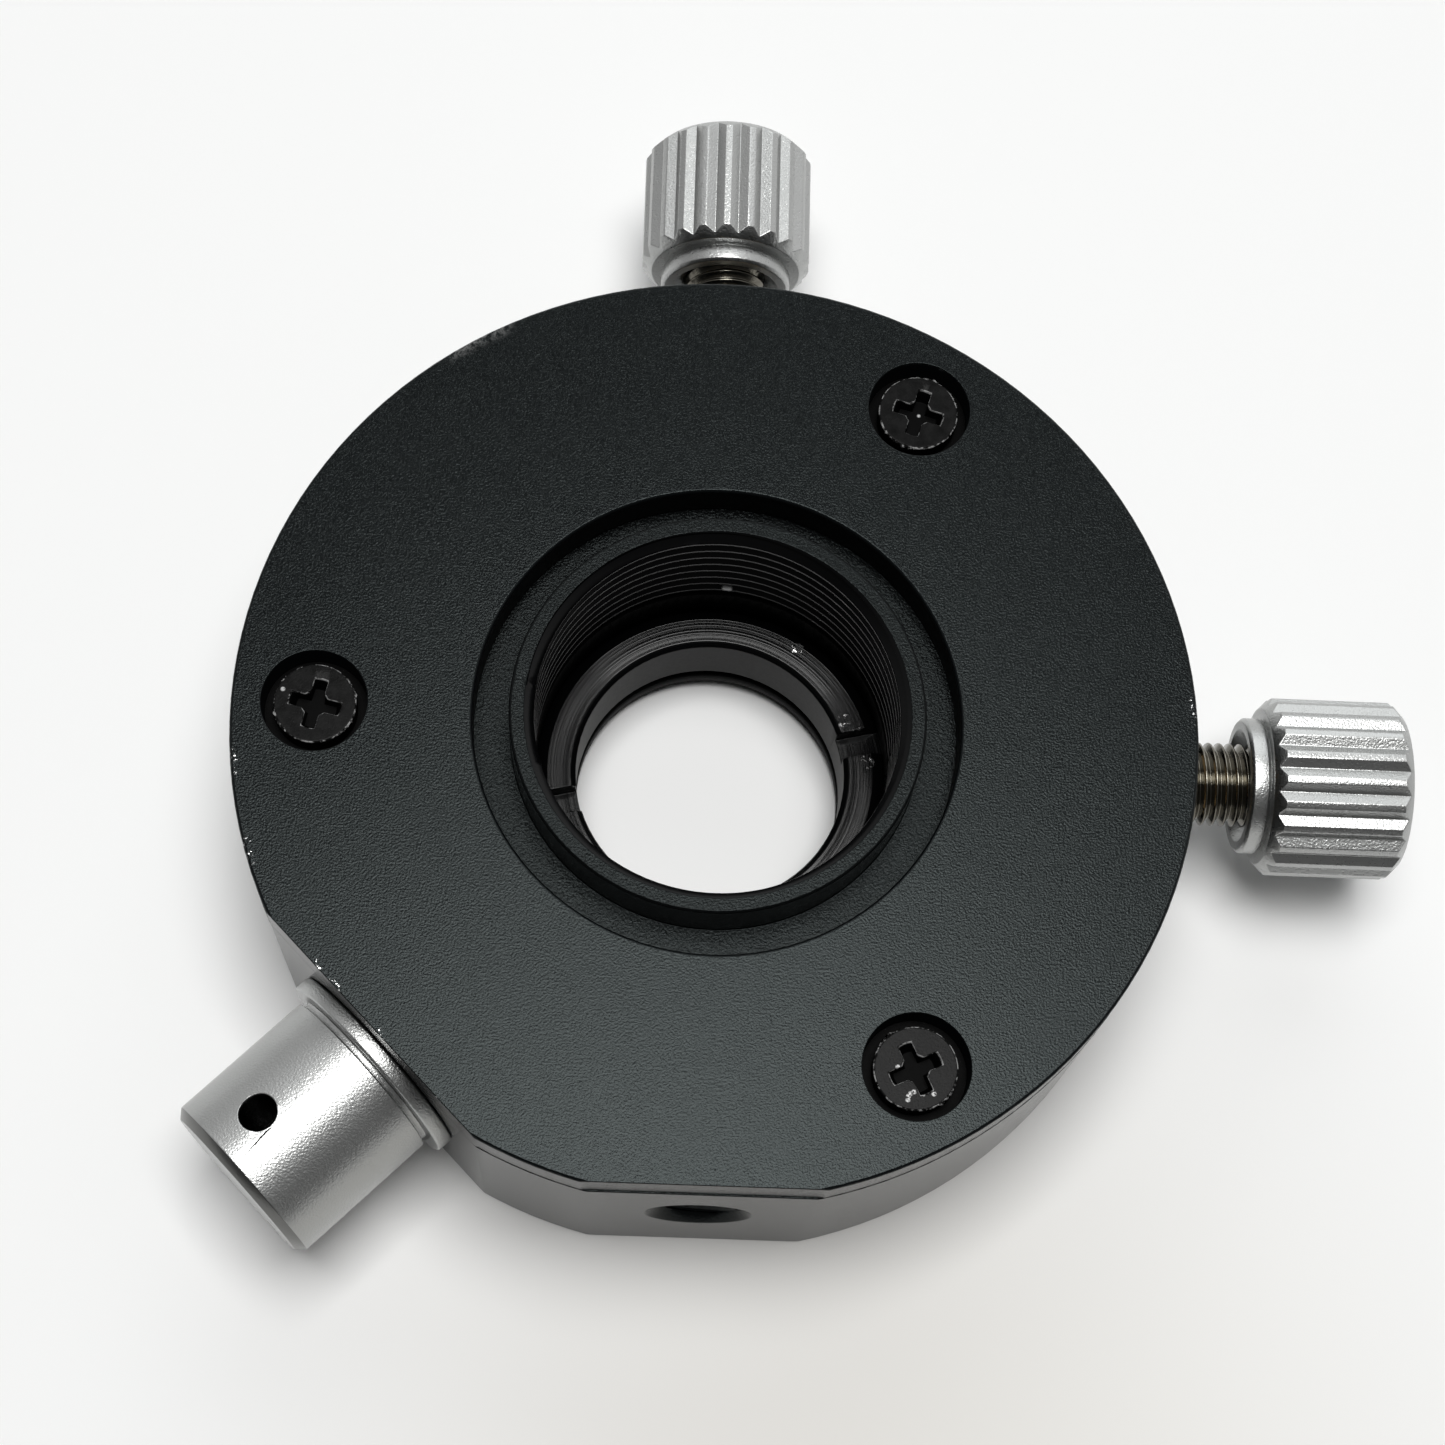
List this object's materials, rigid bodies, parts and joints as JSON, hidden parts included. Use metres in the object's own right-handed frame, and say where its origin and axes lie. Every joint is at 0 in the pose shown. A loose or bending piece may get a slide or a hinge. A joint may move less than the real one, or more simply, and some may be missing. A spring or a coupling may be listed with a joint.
{
  "type": "optical lens mount",
  "caption": "Round lens mount with a threaded cell that fluted fine-thread knobs move sideways against a spring plunger.",
  "frame": {"origin": "on the optical axis, in the plane of the two adjusters, the spring plunger and the post hole, halfway through the body", "axes": "+Z along the optical axis out of the front face, +X out along one adjuster, +Y out along the other, the post hole opening towards -Y"},
  "size_m": [0.0564, 0.0564, 0.0148],
  "materials": {
    "body_anodised": "matte black anodised over a fine bead blast",
    "cell_anodised": "smooth black anodised",
    "black_steel": "black oxide",
    "silver_metal": "turned satin",
    "thread_steel": "rolled thread",
    "bronze": "turned",
    "hard_steel": "ground"
  },
  "bodies": {
    "housing": {"housing": "body_anodised", "cover_plate": "body_anodised", "cover_screw_1": "black_steel", "cover_screw_2": "black_steel", "cover_screw_3": "black_steel", "x_bushing": "bronze", "y_bushing": "bronze", "plunger_barrel": "silver_metal"},
    "x_ball": {"x_ball": "hard_steel"},
    "x_screw": {"x_adjuster_screw": "thread_steel", "x_knob": "silver_metal"},
    "y_ball": {"y_ball": "hard_steel"},
    "y_screw": {"y_adjuster_screw": "thread_steel", "y_knob": "silver_metal"},
    "lens_cell": {"lens_cell": "cell_anodised", "retaining_ring": "cell_anodised", "x_pad": "hard_steel", "y_pad": "hard_steel"},
    "plunger_spring": {"plunger_spring": "thread_steel"},
    "plunger_pin": {"plunger_pin": "hard_steel"}
  },
  "joints": [
    {"name": "x_travel", "type": "slide", "parent": "housing", "child": "x_ball", "axis": [1, 0, 0], "range_m": [-0.001, 0.001]},
    {"name": "x_turn", "type": "hinge", "parent": "x_ball", "child": "x_screw", "pos_m": [0, 0, 0], "axis": [1, 0, 0], "range_deg": [-720, 720]},
    {"name": "y_travel", "type": "slide", "parent": "housing", "child": "y_ball", "axis": [0, 1, 0], "range_m": [-0.001, 0.001]},
    {"name": "y_turn", "type": "hinge", "parent": "y_ball", "child": "y_screw", "pos_m": [0, 0, 0], "axis": [0, 1, 0], "range_deg": [-720, 720]},
    {"name": "cell_y", "type": "slide", "parent": "x_ball", "child": "lens_cell", "axis": [0, 1, 0], "range_m": [-0.001, 0.001]},
    {"name": "plunger_x", "type": "slide", "parent": "housing", "child": "plunger_spring", "axis": [0.7071, 0.7071, 0], "range_m": [-0.00071, 0.00071], "deforming": ["plunger_spring"]},
    {"name": "plunger_y", "type": "slide", "parent": "plunger_spring", "child": "plunger_pin", "axis": [0.7071, 0.7071, 0], "range_m": [-0.00071, 0.00071], "deforming": ["plunger_spring"]}
  ],
  "couplings": [
    {"joint": "x_turn", "follows": "x_travel", "rad_per_m": 12566},
    {"joint": "plunger_x", "follows": "x_travel", "ratio": 0.70711},
    {"joint": "y_turn", "follows": "y_travel", "rad_per_m": 12566},
    {"joint": "cell_y", "follows": "y_travel", "ratio": 1},
    {"joint": "plunger_y", "follows": "y_travel", "ratio": 0.70711}
  ]
}
